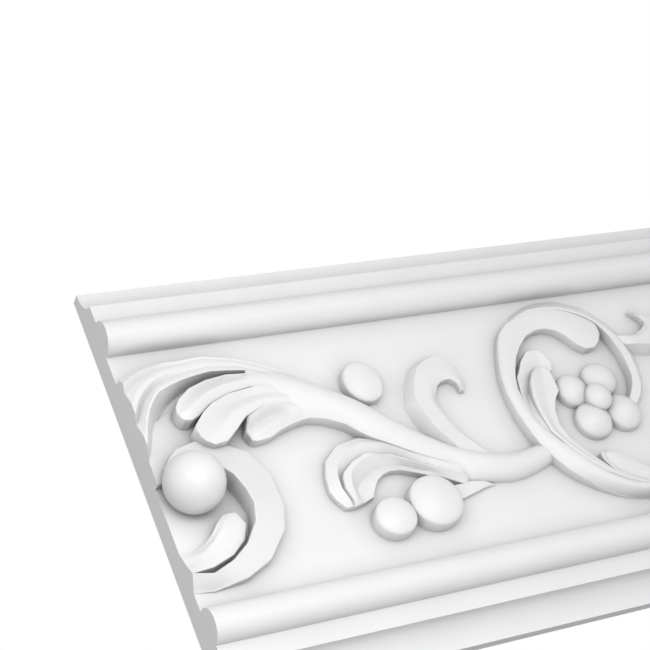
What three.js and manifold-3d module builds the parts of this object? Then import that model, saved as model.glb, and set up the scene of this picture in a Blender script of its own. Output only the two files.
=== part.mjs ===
// Panel moulding: one repeat of a flat-backed frieze board. A cove, a fillet and a half-round bead
// run along both long edges, and a scroll of leaves, berries and a flower stands on the field
// between them. Millimetres, +Z up, X along the run, back face on Y = 0, front towards -Y,
// origin at the centre of the back face.
import * as THREE from 'three';
import { mergeVertices } from 'three/addons/utils/BufferGeometryUtils.js';
import Module from 'manifold-3d';

// Board and border
const LENGTH = 250; // one repeat of the ornament, cut square at both ends
const HEIGHT = 150;
const EDGE_THICKNESS = 4.2; // at the top and bottom edges
const COVE_HEIGHT = 9.45;
const FILLET_HEIGHT = 6.75;
const FILLET_THICKNESS = 10.9;
const BEAD_RADIUS = 6.2;
const BEAD_RISE = 5.4; // how far the bead stands in front of the fillet
const FIELD_THICKNESS = 8.9;

// Relief
const HIGHEST_LIP = 8.8; // the curled lip around the ball, over the field
const SUNK = 3; // how deep each form is let into the board

// The ornament is drawn at this size and follows the board when the board changes
const DRAWN = { length: 250, halfHeight: 46.4, highestLip: 8.8 };

const FIELD_HALF = HEIGHT / 2 - COVE_HEIGHT - FILLET_HEIGHT - 2 * BEAD_RADIUS;
const ALONG = LENGTH / DRAWN.length;
const UP = FIELD_HALF / DRAWN.halfHeight;
const PROUD = HIGHEST_LIP / DRAWN.highestLip;

const PLASTER = new THREE.MeshStandardMaterial({ color: 0xf3f2ef, roughness: 0.6, metalness: 0 });

const wasm = await Module();
wasm.setup();

// A point of the ornament: x from the left end, z from the middle line, height over the field
function place(x, z, height) {
  return new THREE.Vector3(x * ALONG - LENGTH / 2, -(FIELD_THICKNESS + height * PROUD), z * UP);
}

function signedVolume(position, triangles) {
  const a = new THREE.Vector3();
  const b = new THREE.Vector3();
  const c = new THREE.Vector3();
  let sum = 0;
  for (let i = 0; i < triangles.length; i += 3) {
    a.fromArray(position, triangles[i] * 3);
    b.fromArray(position, triangles[i + 1] * 3);
    c.fromArray(position, triangles[i + 2] * 3);
    sum += a.dot(b.cross(c));
  }
  return sum;
}

// A closed solid from a geometry: shared vertices merged, flat slivers dropped, faces turned out
function solidOf(geometry) {
  geometry.deleteAttribute('normal');
  geometry.deleteAttribute('uv');
  const merged = mergeVertices(geometry, 1e-4);
  const position = merged.attributes.position.array;
  const index = merged.index.array;
  const triangles = [];
  for (let i = 0; i < index.length; i += 3) {
    const [a, b, c] = index.slice(i, i + 3);
    if (a !== b && b !== c && c !== a) triangles.push(a, b, c);
  }
  if (signedVolume(position, triangles) < 0) triangles.reverse();
  return new wasm.Manifold(new wasm.Mesh({
    numProp: 3,
    vertProperties: new Float32Array(position),
    triVerts: new Uint32Array(triangles),
  }));
}

// Height and thickness of the border from the outer edge to the field, for the upper half
function borderPoints() {
  const points = [];
  const edge = HEIGHT / 2;
  const coveSteps = 6;
  for (let i = 0; i <= coveSteps; i++) {
    const turn = (i / coveSteps) * Math.PI / 2;
    const thickness = FILLET_THICKNESS - (FILLET_THICKNESS - EDGE_THICKNESS) * Math.cos(turn);
    points.push([thickness, edge - COVE_HEIGHT * Math.sin(turn)]);
  }
  const beadTop = FILLET_THICKNESS + BEAD_RISE;
  const beadThickness = beadTop - BEAD_RADIUS;
  const beadMiddle = edge - COVE_HEIGHT - FILLET_HEIGHT - BEAD_RADIUS;
  const start = Math.asin((FILLET_THICKNESS - beadThickness) / BEAD_RADIUS);
  const beadSteps = 14;
  for (let i = 0; i <= beadSteps; i++) {
    const turn = start + (i / beadSteps) * (Math.PI - start);
    points.push([beadThickness + BEAD_RADIUS * Math.sin(turn), beadMiddle + BEAD_RADIUS * Math.cos(turn)]);
  }
  points.push([FIELD_THICKNESS, FIELD_HALF]);
  return points;
}

function board() {
  const upper = borderPoints();
  const lower = upper.map(([thickness, z]) => [thickness, -z]).reverse();
  const outline = [[0, HEIGHT / 2], ...upper, ...lower, [0, -HEIGHT / 2]];
  const shape = new THREE.Shape(outline.map(([thickness, z]) => new THREE.Vector2(thickness, z)));
  const run = new THREE.ExtrudeGeometry(shape, { depth: LENGTH, bevelEnabled: false });
  const turned = new THREE.Matrix4().makeBasis(
    new THREE.Vector3(0, -1, 0), new THREE.Vector3(0, 0, 1), new THREE.Vector3(1, 0, 0));
  run.applyMatrix4(turned);
  run.translate(-LENGTH / 2, 0, 0);
  return solidOf(run);
}

// A leaf lies between two edges. Each row holds one point of either edge as [x, z, height], from
// tip to root. Across the rows the top follows the section, a list of [share across, lift]. The
// flare spreads the foot of the first edge.
function leaf(rows, { section = [[0, 0], [0.5, 0.6], [1, 0]], flare = 0, fade = () => 1 } = {}) {
  const along = rows.length - 1;
  const across = section.length - 1;
  const block = new THREE.BoxGeometry(1, 1, 1, along, 1, across);
  const position = block.attributes.position;
  const point = new THREE.Vector3();
  for (let i = 0; i < position.count; i++) {
    point.fromBufferAttribute(position, i);
    const row = Math.round((point.x + 0.5) * along);
    const [share, lift] = section[Math.round((point.z + 0.5) * across)];
    const [[ax, az, ah], [bx, bz, bh]] = rows[row];
    const x = ax + (bx - ax) * share;
    const z = az + (bz - az) * share;
    const top = ah + (bh - ah) * share + lift * fade(row / along);
    if (point.y > 0) {
      point.copy(place(x, z, top));
    } else {
      const spread = flare * (share - 1) / Math.hypot(bx - ax, bz - az);
      point.copy(place(x + (bx - ax) * spread, z + (bz - az) * spread, 0));
      point.y += SUNK;
    }
    position.setXYZ(i, point.x, point.y, point.z);
  }
  return solidOf(block);
}

// A half-round stalk along [x, z, radius] stations
function stalk(stations, steps = 8) {
  const rows = stations.map(([x, z, radius], i) => {
    const [x0, z0] = stations[Math.max(i - 1, 0)];
    const [x1, z1] = stations[Math.min(i + 1, stations.length - 1)];
    const run = Math.hypot(x1 - x0, z1 - z0);
    const nx = radius * (z1 - z0) / run;
    const nz = radius * (x0 - x1) / run;
    return [[x + nx, z + nz, 0], [x - nx, z - nz, 0]];
  });
  const radii = stations.map(([, , radius]) => radius);
  const middle = radii.reduce((sum, radius) => sum + radius, 0) / radii.length;
  const section = [];
  for (let i = 0; i <= steps; i++) {
    const turn = (i / steps) * Math.PI;
    section.push([(1 - Math.cos(turn)) / 2, middle * Math.sin(turn)]);
  }
  const fade = (share) => radii[Math.round(share * (radii.length - 1))] / middle;
  return leaf(rows, { section, fade });
}

// A crescent around a centre: rows of [angle, inner radius, outer radius, inner height, outer height]
function crescent(cx, cz, rows, options) {
  return leaf(rows.map(([angle, inner, outer, innerHeight, outerHeight]) => {
    const turn = THREE.MathUtils.degToRad(angle);
    return [
      [cx + inner * Math.cos(turn), cz + inner * Math.sin(turn), innerHeight],
      [cx + outer * Math.cos(turn), cz + outer * Math.sin(turn), outerHeight],
    ];
  }), options);
}

// A berry or petal: an upright wall with a domed top, round or a little oval
function berry(x, z, radiusX, radiusZ, wall, dome, sides = 20) {
  const profile = [new THREE.Vector2(0, -SUNK), new THREE.Vector2(1, -SUNK), new THREE.Vector2(1, wall)];
  const steps = 4;
  for (let i = 1; i <= steps; i++) {
    const share = 1 - i / steps;
    profile.push(new THREE.Vector2(share, wall + dome * (1 - share * share)));
  }
  const round = new THREE.LatheGeometry(profile, sides);
  const position = round.attributes.position;
  for (let i = 0; i < position.count; i++) {
    const [across, height, up] = [position.getX(i), position.getY(i), position.getZ(i)];
    const point = place(x + across * radiusX, z + up * radiusZ, Math.max(height, 0));
    if (height < 0) point.y -= height;
    position.setXYZ(i, point.x, point.y, point.z);
  }
  return solidOf(round);
}

// The ball in the curl, nearly whole
function ball(x, z, height, radius) {
  const globe = new THREE.SphereGeometry(radius, 26, 16);
  globe.rotateX(Math.PI / 2);
  const centre = place(x, z, height);
  globe.translate(centre.x, centre.y, centre.z);
  return solidOf(globe);
}

// Broad leaf at the left, folded where it is cut, and its three lobes
const topLeaf = leaf([
  [[-2, 34.6, 3.6], [-2, 7, 6]],
  [[2, 36.6, 3.7], [0.4, 11.5, 6]],
  [[7.8, 38.1, 3.8], [2.8, 17.1, 6]],
  [[12, 39, 3.9], [6.5, 22.8, 6]],
  [[16, 39.7, 4], [10.4, 27.9, 6]],
  [[22.4, 40, 4], [18.5, 29.9, 6]],
  [[29.7, 40.3, 4], [27, 32, 6]],
  [[39.9, 38.1, 4], [34, 32.2, 6]],
  [[48, 34.4, 4], [42.3, 30.8, 6]],
  [[56, 29, 2.5], [50, 26, 5]],
  [[62, 24, 1], [57, 22, 3]],
], {
  section: [[0, 0], [0.13, 1.3], [0.24, -0.2], [0.45, 1.1], [0.6, 0.6], [0.75, -1.4], [1, 0]],
  fade: (share) => Math.max(0.25, 1 - 1.6 * share),
});

const upperLobe = leaf([
  [[13.3, 20, 5.8], [13.6, 18.4, 5.8]],
  [[14.3, 22, 6], [15.5, 16.2, 6]],
  [[15.9, 24, 6.2], [18.4, 15.8, 6.2]],
  [[20.4, 26.7, 6.2], [21.5, 17.2, 6.2]],
  [[26.8, 29.1, 6.2], [25.8, 20.5, 6.2]],
  [[33.7, 30.1, 6.2], [32.3, 22.8, 6.2]],
  [[41.4, 29.8, 6], [42.2, 24.4, 6]],
  [[50, 27, 5.5], [51, 22.5, 5.5]],
], { section: [[0, 0], [0.4, 0.9], [1, 0]] });

const middleLobe = leaf([
  [[17.2, 11.8, 7.6], [17.2, 9.8, 7.6]],
  [[18, 13.4, 7.8], [17.9, 6.9, 7.8]],
  [[19.9, 15.8, 8], [21, 4.6, 8]],
  [[25, 19.6, 7.8], [25.6, 5, 8]],
  [[31.4, 22, 7.6], [30.9, 9.1, 7.6]],
  [[41.2, 23.6, 7.2], [36.5, 14, 7]],
  [[50, 23.5, 7], [46, 17, 6.5]],
  [[59, 20.5, 6.8], [57, 16.5, 6.2]],
]);

const lowerLobe = leaf([
  [[35.2, 9.6, 4], [35.1, 7.8, 3.8]],
  [[35.6, 12, 5], [36.4, 5.8, 3.8]],
  [[37, 14.6, 5.8], [40.4, 5.5, 3.8]],
  [[41.2, 16.2, 6], [45.5, 7, 3.8]],
  [[45.9, 17.2, 6.2], [50.5, 9.4, 3.9]],
  [[52.2, 16.8, 6.4], [57, 10.5, 4]],
  [[60, 15.5, 6.6], [64.5, 9, 4.2]],
  [[68, 11.5, 6.6], [71, 5.4, 4.3]],
  [[76, 6, 6.4], [77.4, 0, 4.4]],
]);

const mainStem = stalk([
  [40, 30, 6.5], [50, 25, 7], [60, 20, 7], [69.5, 14.1, 6.9], [78.3, 7.5, 6.5], [84.5, 2.6, 6],
  [91, -2.7, 5.5], [101.9, -9.9, 4.9], [109, -13.6, 5], [117, -17.2, 5.3], [128, -18.8, 5.1],
  [140, -16.1, 4.3], [149, -13, 4],
]);

// Lower leaf under the stem: an outer fold, a ridge and an inner lobe
const outerFold = leaf([
  [[60, -22.5, 2.4], [63.5, -22.6, 2.4]],
  [[57.4, -20.2, 2.4], [62, -19.5, 3]],
  [[56.1, -16.5, 2.4], [60.5, -16, 3.6]],
  [[56.6, -11.5, 2.5], [61, -11, 3.6]],
  [[59.2, -6.5, 2.6], [63.5, -7, 3.6]],
  [[64.3, -0.8, 2.8], [67.5, -4, 3.6]],
  [[72, 1, 3], [73.6, -3, 3.6]],
  [[80, -0.8, 3.4], [79, -4, 3.6]],
  [[88, -6.5, 3.8], [86, -8, 3.6]],
  [[97, -12, 4], [95, -13, 3.6]],
  [[106, -14.5, 2.4], [104.5, -16, 2.4]],
], { section: [[0, 0], [1, 0]] });

const ridgeFold = leaf([
  [[61.5, -21, 2.6], [65.5, -21.8, 2.4]],
  [[59.5, -16.5, 2.8], [64, -17, 2.8]],
  [[60.6, -10.5, 3], [66.5, -12, 2.8]],
  [[65, -5.4, 3], [70.5, -9, 2.8]],
  [[72, -3.2, 3], [75, -8.6, 2.8]],
  [[79, -4, 3.2], [80, -9.4, 2.8]],
  [[86, -7.4, 3.4], [87, -12, 3]],
  [[95, -12, 3.6], [95, -16, 3.2]],
  [[103, -15.5, 3], [102.5, -19, 2.8]],
  [[112, -16, 1.6], [111, -20, 1.6]],
], { section: [[0, 0], [0.4, 1.4], [1, 0]] });

const innerLobe = leaf([
  [[65, -20.5, 2.4], [66.6, -22.6, 2.2]],
  [[65.2, -17.5, 2.6], [70.4, -21.4, 2.3]],
  [[67, -14, 2.8], [73.2, -17.6, 2.3]],
  [[70.5, -11.2, 2.8], [76, -14, 2.3]],
  [[75, -9.6, 2.8], [80.8, -12.5, 2.3]],
  [[81, -9.8, 2.9], [85.5, -12.9, 2.5]],
  [[88, -12, 3], [90, -14.8, 2.8]],
  [[96, -15.5, 3], [97.5, -18, 2.8]],
  [[105, -17.6, 2.6], [105.5, -20.6, 2.2]],
  [[113, -18.5, 1.4], [113.5, -21.5, 1.2]],
], { section: [[0, 0], [0.5, -0.6], [1, 0]] });

// Hooks: one over the stem, one past the flower
const stemHook = leaf([
  [[120.9, 12, 1.8], [119.6, 11.9, 1.8]],
  [[121.5, 15.1, 2.4], [118.4, 14, 2.4]],
  [[121.9, 18.8, 2.8], [118.4, 16.4, 2.8]],
  [[120.3, 23.8, 3], [116.4, 17.8, 3]],
  [[115.5, 26.8, 3.8], [113.4, 16.9, 3]],
  [[109.2, 25.3, 4.5], [110.6, 13.8, 3]],
  [[104.8, 22.5, 5], [108.6, 11, 3]],
  [[101.3, 16.4, 5], [108.1, 7.4, 3]],
  [[98.9, 10.8, 5], [108.9, 3.2, 2.8]],
  [[99.8, 4.4, 5], [110.7, -1.4, 2.8]],
  [[101.5, -0.8, 5], [113.7, -5.9, 2.6]],
  [[104.4, -6, 5], [116.8, -9.4, 2.6]],
  [[109, -12, 4.6], [121, -13, 2.5]],
], { section: [[0, 0], [0.5, 0.2], [1, 0]], flare: 2.1 });

const flowerHook = leaf([
  [[202.6, 34, 1.8], [202.7, 32.6, 1.8]],
  [[204.8, 34.9, 2.4], [204.6, 32.4, 2.4]],
  [[209.8, 34.2, 2.8], [207, 31.3, 2.8]],
  [[214, 31.4, 3], [207.8, 29.2, 3]],
  [[216.5, 26.8, 3.8], [206.4, 27, 3]],
  [[215.5, 21.8, 4.5], [203.5, 24.6, 3]],
  [[212, 18.6, 5], [200.5, 23.9, 3]],
  [[206.5, 17.4, 5], [197.5, 24, 2.8]],
  [[201.4, 18, 5], [194, 24.6, 2.8]],
  [[195.5, 19.6, 5], [190, 25.5, 2.6]],
], { section: [[0, 0], [0.5, 0.2], [1, 0]], flare: 2.1 });

// Ring of leaves around the flower
const ringLeaf = leaf([
  [[185, 28.5, 3.4], [184.8, 25.5, 3.4]],
  [[184, 31.3, 3.5], [182.2, 21.5, 3.4]],
  [[180.8, 35.2, 3.6], [179, 20.2, 3.4]],
  [[177, 37.7, 3.6], [175.1, 21.2, 3.4]],
  [[172.7, 38.9, 3.6], [170.4, 27, 3.4]],
  [[167.7, 39.7, 3.6], [166.6, 30.3, 3.4]],
  [[160.5, 39.8, 3.6], [161, 31.6, 3.5]],
  [[154, 38.2, 3.6], [154.5, 29.3, 3.6]],
  [[148, 34.6, 3.5], [148.5, 23.2, 3.7]],
  [[142, 27.3, 3.4], [144, 17, 3.8]],
  [[137.3, 19, 3.2], [142, 11, 3.9]],
  [[135.7, 9, 3.2], [141.3, 4, 4]],
  [[136, 0, 3.2], [142, -2, 4.2]],
  [[137.6, -8.5, 3.5], [144, -8.5, 4.4]],
  [[142, -20, 4], [149.5, -17, 4.8]],
  [[147, -27.3, 4.4], [155, -25, 5.2]],
  [[153.9, -33.9, 5.2], [161.5, -30.5, 5.5]],
  [[162, -38.3, 6], [168, -34.3, 5.6]],
  [[172.6, -40.3, 6], [176, -36.4, 5.6]],
  [[186, -41, 5], [188, -37, 5.2]],
  [[202, -41.4, 4], [202, -37.4, 4.8]],
  [[218, -41.5, 3], [218, -37.5, 4.4]],
  [[235, -41, 2.4], [235, -36.6, 4.3]],
  [[252, -39.6, 2.1], [252, -34.9, 4.25]],
], { section: [[0, 0], [0.5, 0.5], [1, 0]] });

const outerBand = leaf([
  [[185.8, -6.8, 2.6], [182.5, -3.5, 3.4]],
  [[189.8, -3.3, 2.6], [185.2, 0.6, 4]],
  [[192.2, 1.1, 2.6], [187.6, 4, 4]],
  [[194.1, 6.6, 2.6], [189.4, 8, 4]],
  [[195, 11.6, 2.6], [189.9, 12.4, 4]],
  [[195, 17.1, 2.6], [189.7, 17, 4]],
  [[193.7, 23.4, 2.6], [188.7, 22.8, 4]],
  [[191, 29.5, 2.6], [187, 26.5, 4]],
  [[185.8, 36, 2.6], [183, 31.5, 3.4]],
  [[179.5, 40.3, 2.6], [177.5, 36.5, 3]],
  [[170, 42.7, 2.6], [169.5, 38.8, 3]],
  [[163.5, 43, 2.6], [163.5, 39, 3]],
  [[157, 41, 2.6], [158, 38, 3]],
  [[150.5, 37, 2.6], [152, 34, 3]],
], { section: [[0, 0], [0.45, 0.8], [1, 0]] });

const firstInnerLeaf = leaf([
  [[154.5, 23.9, 3.2], [156.6, 23, 3.2]],
  [[151.3, 23.6, 3.4], [158.2, 20.6, 3.2]],
  [[147.5, 21.1, 3.6], [158.4, 15.5, 3.2]],
  [[144.5, 17.6, 3.8], [155.5, 10.5, 3.2]],
  [[142.6, 12.5, 4], [151.5, 6, 3.2]],
  [[141.5, 6, 4], [148.5, 1, 3.4]],
  [[142.5, -2, 4.2], [148.5, -6, 3.8]],
  [[145.5, -10, 4.4], [151, -12, 4.2]],
], { section: [[0, 0], [0.55, -0.7], [1, 0]] });

const secondInnerLeaf = leaf([
  [[151.8, 15.6, 4.2], [154, 14.9, 4.2]],
  [[148.6, 14.4, 4.4], [156.3, 12, 4.2]],
  [[146.7, 11.3, 4.5], [156.3, 6.5, 4.2]],
  [[144.9, 7, 4.6], [153.8, 2.6, 4.2]],
  [[144.2, 2, 4.8], [151.1, -1.4, 4.2]],
  [[144, -3, 4.8], [150.4, -5, 4.3]],
  [[144.7, -8, 4.9], [150.7, -9.5, 4.4]],
  [[147, -13.5, 5], [152.6, -15.5, 4.6]],
  [[151, -20, 5.2], [156.6, -21.8, 4.8]],
  [[156.5, -26.5, 5.4], [160.6, -28, 5]],
  [[163, -32, 5.6], [166, -33.3, 5.2]],
  [[172, -36, 5.6], [173, -36.5, 5.2]],
], { section: [[0, 0], [0.4, 0.6], [1, 0]] });

const spoonLeaf = leaf([
  [[161.8, -20.9, 3.6], [160.5, -21.6, 3.6]],
  [[165.4, -21, 3.6], [160, -23.1, 3.7]],
  [[169, -23.7, 3.6], [161.6, -25.8, 3.8]],
  [[172.8, -26.2, 3.6], [164.7, -29.6, 4]],
  [[177, -29, 3.6], [169, -32.6, 4.2]],
  [[184, -32.3, 3.6], [175, -35, 4.4]],
  [[196, -35.4, 3.6], [186, -37, 4.4]],
  [[210, -37, 3.6], [202, -38, 4.4]],
], { section: [[0, 0], [0.5, -0.7], [1, 0]] });

// Flower: four round petals and a bud
const flower = [
  berry(162.9, 5.3, 5.9, 6.3, 3.3, 2.4),
  berry(165.4, -7.5, 6.8, 7, 3.3, 2.6),
  berry(178.8, -6.3, 6.4, 6.9, 3.3, 2.6),
  berry(175.5, 8, 6.4, 6.7, 3.3, 2.6),
  berry(170.1, 0, 5.1, 5.4, 5.5, 2.6),
];

// Berries on their stalks
const berries = [
  berry(83.3, 21.2, 6.9, 8, 4, 1.6),
  berry(73.6, -30, 7, 6.8, 5, 1.8),
  berry(89.9, -27.4, 9.2, 9.2, 5.2, 2.4),
];

const berryStalks = [
  leaf([
    [[98, -21, 2.4], [98, -28, 1.4]],
    [[104, -21.9, 2], [104, -26.8, 1.2]],
    [[111, -22, 1.8], [111, -25.2, 1.2]],
    [[119, -22.8, 1.2], [119, -24, 1]],
  ]),
  leaf([
    [[84.2, 15, 1.4], [86, 15, 1.4]],
    [[86.6, 9.5, 1], [88, 10, 1]],
    [[88, 6, 1], [89.2, 6.6, 1]],
  ], { section: [[0, 0], [1, 0]] }),
];

// Curl around the ball at the left end, with the club leaf inside it
const curl = crescent(13, -15, [
  [-126, 24.6, 29.4, 4.2, 2.1],
  [-108, 23.6, 27.3, 4.9, 2.4],
  [-89, 20.4, 26, 6.2, 3],
  [-67, 17.3, 25.4, 7.4, 3.6],
  [-40, 14.8, 25.2, 8.2, 4],
  [-13, 13.3, 25, 8.7, 4],
  [11, 12.8, 25.3, 8.8, 4],
  [37, 12.9, 25.8, 8.5, 4],
  [60, 13.4, 24.8, 7, 4],
  [82, 14.5, 24.1, 5.5, 4.2],
  [101, 15.5, 21.7, 5, 4.4],
  [119, 15.6, 19.2, 4.6, 4.4],
  [133, 15, 16.2, 4.2, 4.2],
], { section: [[0, 0], [1, 0]] });

const clubLeaf = leaf([
  [[16.4, -18.4, 4.2], [20.6, -18.3, 4.5]],
  [[14, -20.6, 3], [22.6, -22, 4.7]],
  [[10.8, -23.6, 1.8], [20.9, -27.5, 4.7]],
  [[7.3, -25.8, 0.9], [17.5, -31, 4.6]],
  [[3.6, -26.8, 0.5], [12, -33.8, 4.5]],
  [[0.5, -26.8, 0.3], [5.5, -35.3, 4.4]],
  [[-2, -26, 0.3], [-2, -34.9, 4.25]],
]);

const leftShelf = leaf([
  [[-2, 13, 3.5], [-2, -3.9, 3.2]],
  [[4, 17, 2.8], [3, -3.8, 2.8]],
  [[9, 22, 1.6], [9, 0, 1.4]],
  [[14, 24, 0.2], [14, 5, 0.2]],
], { section: [[0, 0], [1, 0]] });

// Right end, where the next repeat begins
const rightEnd = [
  leaf([
    [[230.5, 32, 3], [230.6, 30, 3]],
    [[233, 34.3, 3.4], [232.5, 27.6, 4.2]],
    [[240, 35.3, 3.6], [240, 26, 5]],
    [[252, 35.6, 3.6], [252, 25, 5.2]],
  ], { section: [[0, 0], [0.3, 1.2], [0.6, -0.4], [1, 0]] }),
  leaf([
    [[236, 19.5, 4], [236.3, 17, 4]],
    [[238.5, 22.6, 5], [239, 13.2, 5.2]],
    [[244, 24.6, 5.4], [245, 10.8, 6]],
    [[252, 25.2, 5.4], [252, 9.5, 6]],
  ], { section: [[0, 0], [0.35, 0.5], [0.6, -1.2], [1, 0]] }),
  leaf([
    [[240, 8, 0.3], [241, -2, 0.3]],
    [[246, 10, 2.4], [246, -3.6, 2.4]],
    [[252, 11, 3.5], [252, -3.9, 3.2]],
  ], { section: [[0, 0], [1, 0]] }),
  leaf([
    [[205, -35.8, 3.8], [205, -38, 4.4]],
    [[225, -33.4, 3], [225, -37.6, 4.4]],
    [[240, -29.2, 1.4], [240, -37, 4.3]],
    [[252, -26.3, 0.3], [252, -35.4, 4.25]],
  ]),
];

function panelMoulding() {
  const forms = [
    topLeaf, upperLobe, middleLobe, lowerLobe, mainStem, outerFold, ridgeFold, innerLobe,
    stemHook, flowerHook, ringLeaf, outerBand, firstInnerLeaf, secondInnerLeaf, spoonLeaf,
    ...flower, ...berries, ...berryStalks, curl, clubLeaf, leftShelf, ...rightEnd,
    ball(10.3, -6.7, 6.5, 10.1 * PROUD),
  ];
  const relief = forms.reduce((joined, form) => joined.add(form));
  const slot = new THREE.BoxGeometry(LENGTH, 4 * FILLET_THICKNESS, HEIGHT);
  slot.translate(0, -2 * FILLET_THICKNESS, 0);
  const whole = board().add(relief.intersect(solidOf(slot)));
  const mesh = whole.getMesh();
  const geometry = new THREE.BufferGeometry();
  geometry.setAttribute('position', new THREE.BufferAttribute(mesh.vertProperties, 3));
  geometry.setIndex(new THREE.BufferAttribute(mesh.triVerts, 1));
  return geometry;
}

const panel = new THREE.Mesh(panelMoulding(), PLASTER);
panel.name = 'panel_moulding';

const group = new THREE.Group();
group.add(panel);

export default group;
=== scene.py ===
"""Panel moulding: one repeat of a carved frieze board, dressed for the photograph."""
import math

import bpy
from mathutils import Matrix, Vector


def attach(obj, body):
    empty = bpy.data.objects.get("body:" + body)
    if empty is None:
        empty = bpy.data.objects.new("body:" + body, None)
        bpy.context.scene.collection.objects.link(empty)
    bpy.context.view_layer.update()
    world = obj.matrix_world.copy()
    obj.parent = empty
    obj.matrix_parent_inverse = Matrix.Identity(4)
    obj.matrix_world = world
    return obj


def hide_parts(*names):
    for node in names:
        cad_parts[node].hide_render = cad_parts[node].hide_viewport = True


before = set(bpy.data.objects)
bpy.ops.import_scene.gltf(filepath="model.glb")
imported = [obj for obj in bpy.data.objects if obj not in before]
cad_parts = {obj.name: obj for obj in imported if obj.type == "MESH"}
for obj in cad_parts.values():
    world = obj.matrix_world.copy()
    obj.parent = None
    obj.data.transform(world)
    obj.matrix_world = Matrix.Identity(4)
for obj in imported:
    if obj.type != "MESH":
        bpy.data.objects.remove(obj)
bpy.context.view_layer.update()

# Millimetres
MM = 0.001

# Board and border
LENGTH = 250
HEIGHT = 150
EDGE_THICKNESS = 4.2
COVE_HEIGHT = 9.45
FILLET_HEIGHT = 6.75
FILLET_THICKNESS = 10.9
BEAD_RADIUS = 6.2
BEAD_RISE = 5.4
FIELD_THICKNESS = 8.9
FIELD_HALF = HEIGHT / 2 - COVE_HEIGHT - FILLET_HEIGHT - 2 * BEAD_RADIUS

# Faces round the cove and round the bead
COVE_STEPS = 16
BEAD_STEPS = 36

# Relief: how far a form reaches into the board, the radius of its upper edges, and the distance
# between two crossings along it
SUNK = 3
ARRIS = 0.35
STRIDE = 2

# Shares of a rounded edge: its first extra line, and the most of a fold or a wall that it takes
ARRIS_LINE = 0.3
ARRIS_WIDTH_LIMIT = 0.3
ARRIS_DROP_LIMIT = 0.6

# How the top of a form passes from one line of points to the next
STRAIGHT = "straight"
GENTLE = "gentle"
DOMED = "domed"
GENTLE_SLOPE = 0.75
FLAT_DOME_EDGE = 3

# The folded leaf's ridge. Its steep wall leans by this much for each millimetre of rise
LEAN_X = 0.63
LEAN_Z = 0.62
# How far the valley's floor ends from that wall's top, and how far the ridge falls towards it
VALLEY_GAP = 0.45
STEEP_FALL = 0.1
# Near the stem: the ridge's fall, and where its slope starts and ends between the chosen points
SLOPE_FALL = 0.3
SLOPE_TOP = 0.6
SLOPE_FOOT = 0.15

# Degrees between two faces up to which they are shaded as one
SMOOTH_ANGLE = 28

# Primer, and the painted shade that darkens its colour in the recesses
PLASTER_TONE = 0.8
# Painted shade: the share of the primer's colour left deepest in the recesses, and how far in
# millimetres the darkening reaches
PAINTED_SHADE_TONE = 0.45
PAINTED_SHADE_REACH = 9
THIN_CLOUD = 0.985
THICK_CLOUD = 1.01
GRAIN_DEPTH = 0.06

# Camera: degrees that it looks to the right and upwards, and degrees that it is tilted to one side
LENS = 100.305
SENSOR = 36
CAMERA_PLACE = (-336.69, -475.34, -242.09)
LOOK_RIGHT = 32.1266
LOOK_UP = 27.7429
TILT = -24.0245

# Studio
FLOOR_DEPTH = 900
FLOOR_SIZE = 8000
FLOOR_LIFT = 0.5
WORLD_GLOW = 0.45
SUN_SPREAD = 35
PANEL_SIZE = 160
PANEL_AIM = (-30, 0, 0)


def select_only(piece):
    """Select one piece alone and make it the active one."""
    bpy.ops.object.select_all(action="DESELECT")
    piece.select_set(True)
    bpy.context.view_layer.objects.active = piece


def place(x, z, height):
    """A point of the ornament: x from the left end, z from the middle, height over the field."""
    return Vector((x - LENGTH / 2, -(FIELD_THICKNESS + height), z)) * MM


def settle(piece, name):
    """Turn every face outwards and leave the piece's origin at the world's origin."""
    piece.name = name
    select_only(piece)
    bpy.ops.object.mode_set(mode="EDIT")
    bpy.ops.mesh.select_all(action="SELECT")
    bpy.ops.mesh.normals_make_consistent(inside=False)
    bpy.ops.object.mode_set(mode="OBJECT")
    bpy.ops.object.transform_apply(location=True, rotation=True, scale=True)
    return piece


def border_half():
    """Thickness and height of the upper border, from the outer edge down to the field."""
    points = []
    edge = HEIGHT / 2
    for i in range(COVE_STEPS + 1):
        turn = i / COVE_STEPS * math.pi / 2
        thickness = FILLET_THICKNESS - (FILLET_THICKNESS - EDGE_THICKNESS) * math.cos(turn)
        points.append((thickness, edge - COVE_HEIGHT * math.sin(turn)))
    middle = edge - COVE_HEIGHT - FILLET_HEIGHT - BEAD_RADIUS
    centre = FILLET_THICKNESS + BEAD_RISE - BEAD_RADIUS
    start = math.asin((FILLET_THICKNESS - centre) / BEAD_RADIUS)
    for i in range(BEAD_STEPS + 1):
        turn = start + i / BEAD_STEPS * (math.pi - start)
        points.append((centre + BEAD_RADIUS * math.sin(turn), middle + BEAD_RADIUS * math.cos(turn)))
    points.append((FIELD_THICKNESS, FIELD_HALF))
    return points


def bordered_board():
    """The outline of the cut end, pulled along the whole run."""
    upper = border_half()
    lower = [(thickness, -z) for thickness, z in reversed(upper)]
    outline = [(0, HEIGHT / 2)] + upper + lower + [(0, -HEIGHT / 2)]
    bpy.ops.mesh.primitive_circle_add(vertices=len(outline), radius=MM, fill_type="NGON")
    board = bpy.context.object
    for vertex, (thickness, z) in zip(board.data.vertices, outline):
        vertex.co = Vector((-LENGTH / 2, -thickness, z)) * MM
    bpy.ops.object.mode_set(mode="EDIT")
    bpy.ops.mesh.select_all(action="SELECT")
    run = {"value": (LENGTH * MM, 0, 0)}
    bpy.ops.mesh.extrude_region_move(TRANSFORM_OT_translate=run)
    bpy.ops.object.mode_set(mode="OBJECT")
    return settle(board, "board")


def mix(a, b, t):
    """The point at share t of the way from a to b."""
    return [p + (q - p) * t for p, q in zip(a, b)]


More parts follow.
